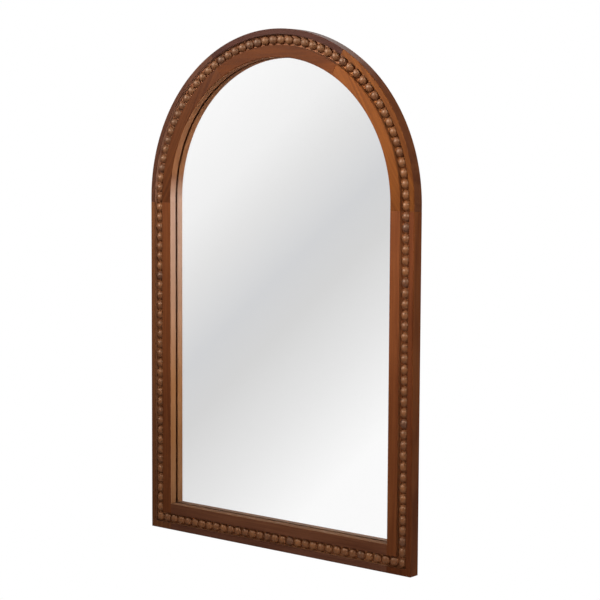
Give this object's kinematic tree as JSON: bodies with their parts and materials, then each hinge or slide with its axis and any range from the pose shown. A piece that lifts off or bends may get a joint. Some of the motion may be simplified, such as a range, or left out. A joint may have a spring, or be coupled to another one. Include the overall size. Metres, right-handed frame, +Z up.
{
  "type": "arched wall mirror",
  "caption": "Arched wooden wall mirror with a sunken row of turned half beads round its face, a plain glass in a rebate, a screwed backing board and swinging ring hangers.",
  "frame": {"origin": "on the wall plane, midway between the two wall hooks that the raised hanger rings rest on", "axes": "+X to the right as seen from the front, +Y from the face into the wall, +Z up"},
  "size_m": [0.6, 0.028, 0.92],
  "materials": {
    "stile_left_wood": "satin varnish over a reddish brown stain",
    "stile_right_wood": "satin varnish over a reddish brown stain",
    "rail_wood": "satin varnish over a dark reddish brown stain",
    "arch_left_wood": "satin varnish over a chestnut stain",
    "arch_top_wood": "satin varnish over a chestnut stain",
    "arch_right_wood": "satin varnish over an orange brown stain",
    "bead_wood": "satin varnish over a chestnut stain, darker round each bead",
    "dowel_wood": "bare turned beech",
    "mirror_glass": "silvered plain glass",
    "slip_sheet": "thin foam sheet",
    "setting_block_rubber": "matt rubber",
    "backing_board": "bare hardboard",
    "screw_steel": "yellow zinc plate",
    "hanger_steel": "bright zinc plate",
    "bumper_rubber": "matt rubber"
  },
  "bodies": {
    "frame": {"left_stile": "stile_left_wood", "right_stile": "stile_right_wood", "bottom_rail": "rail_wood", "arch_left": "arch_left_wood", "arch_top": "arch_top_wood", "arch_right": "arch_right_wood", "beads_left": "bead_wood", "beads_arch": "bead_wood", "beads_right": "bead_wood", "beads_bottom": "bead_wood", "dowels_rail_left": "dowel_wood", "dowels_rail_right": "dowel_wood", "dowels_stile_left": "dowel_wood", "dowels_stile_right": "dowel_wood", "dowels_crown_left": "dowel_wood", "dowels_crown_right": "dowel_wood", "mirror_glass": "mirror_glass", "slip_sheet": "slip_sheet", "setting_blocks": "setting_block_rubber", "backing_board": "backing_board", "backing_screws": "screw_steel", "hanger_screws": "screw_steel", "strap_left": "hanger_steel", "strap_right": "hanger_steel", "bumper_left": "bumper_rubber", "bumper_right": "bumper_rubber"},
    "ring_left": {"d_ring_left": "hanger_steel"},
    "ring_right": {"d_ring_right": "hanger_steel"}
  },
  "joints": [
    {"name": "left_ring_swing", "type": "hinge", "parent": "frame", "child": "ring_left", "pos_m": [-0.28325, -0.0035, -0.0128], "axis": [1, 0, 0], "range_deg": [0, 180]},
    {"name": "right_ring_swing", "type": "hinge", "parent": "frame", "child": "ring_right", "pos_m": [0.28325, -0.0035, -0.0128], "axis": [1, 0, 0], "range_deg": [0, 180]}
  ]
}
